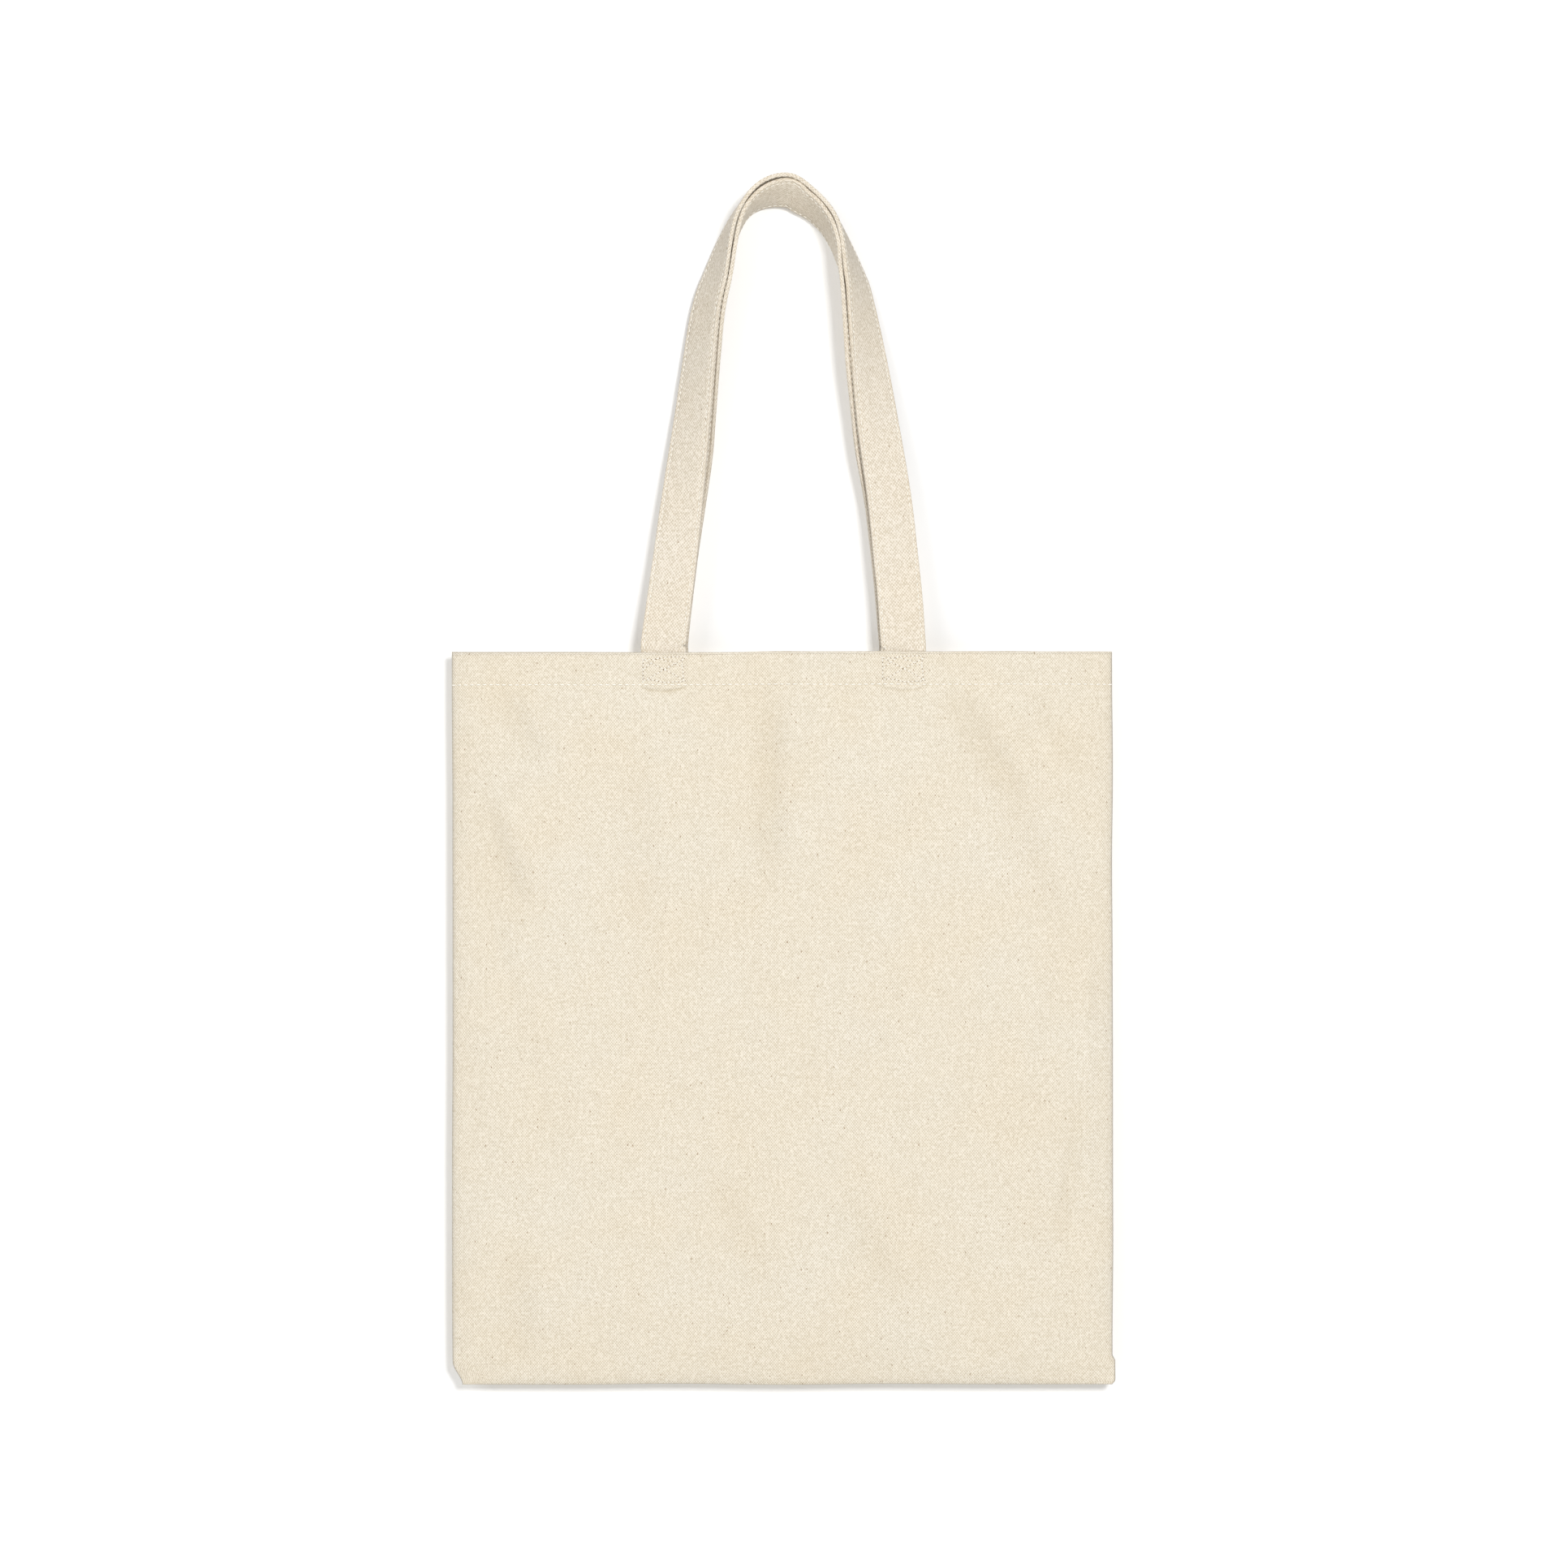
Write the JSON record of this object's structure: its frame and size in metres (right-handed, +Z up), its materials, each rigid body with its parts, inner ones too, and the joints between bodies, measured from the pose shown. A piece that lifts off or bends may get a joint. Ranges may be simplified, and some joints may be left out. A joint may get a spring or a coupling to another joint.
{
  "type": "canvas tote bag",
  "caption": "Flat open-topped canvas tote bag with a stitched mouth hem and two long fabric handles, hanging by its handles.",
  "frame": {"origin": "under the middle of the inner handle's crown, where a hook holds the bag, on the bag's middle plane", "axes": "+Z up from the bag's bottom to the handles' crown, +Y out of the back panel, +X to the right seen from the front"},
  "size_m": [0.3798, 0.0267, 0.697],
  "materials": {
    "canvas": "natural undyed cotton canvas, plain weave, matte",
    "hem_canvas": "the same canvas, turned in at the mouth, matte",
    "raw_edge_canvas": "overlocked raw canvas edge, matte",
    "strap_canvas": "folded cotton canvas strap, matte",
    "cotton_thread": "undyed cotton sewing thread, soft sheen"
  },
  "bodies": {
    "bag": {"front_panel": "canvas", "back_panel": "canvas", "front_hem": "hem_canvas", "back_hem": "hem_canvas", "left_seam_allowance": "raw_edge_canvas", "right_seam_allowance": "raw_edge_canvas", "bottom_seam_allowance": "raw_edge_canvas", "front_left_handle_end": "strap_canvas", "front_right_handle_end": "strap_canvas", "back_left_handle_end": "strap_canvas", "back_right_handle_end": "strap_canvas", "front_hem_stitching": "cotton_thread", "back_hem_stitching": "cotton_thread", "front_left_box_stitch": "cotton_thread", "front_right_box_stitch": "cotton_thread", "back_left_box_stitch": "cotton_thread", "back_right_box_stitch": "cotton_thread", "left_seam_stitching": "cotton_thread", "right_seam_stitching": "cotton_thread", "bottom_seam_stitching": "cotton_thread"},
    "front_handle": {"front_handle": "strap_canvas", "front_handle_inner_stitching": "cotton_thread", "front_handle_outer_stitching": "cotton_thread"},
    "back_handle": {"back_handle": "strap_canvas", "back_handle_inner_stitching": "cotton_thread", "back_handle_outer_stitching": "cotton_thread"}
  },
  "joints": [
    {"name": "front_handle_fold", "type": "hinge", "parent": "bag", "child": "front_handle", "pos_m": [0, -0.0081, -0.2622], "axis": [1, 0, 0], "range_deg": [0, 170]},
    {"name": "back_handle_fold", "type": "hinge", "parent": "bag", "child": "back_handle", "pos_m": [0, 0.0081, -0.2622], "axis": [-1, 0, 0], "range_deg": [0, 170]}
  ]
}
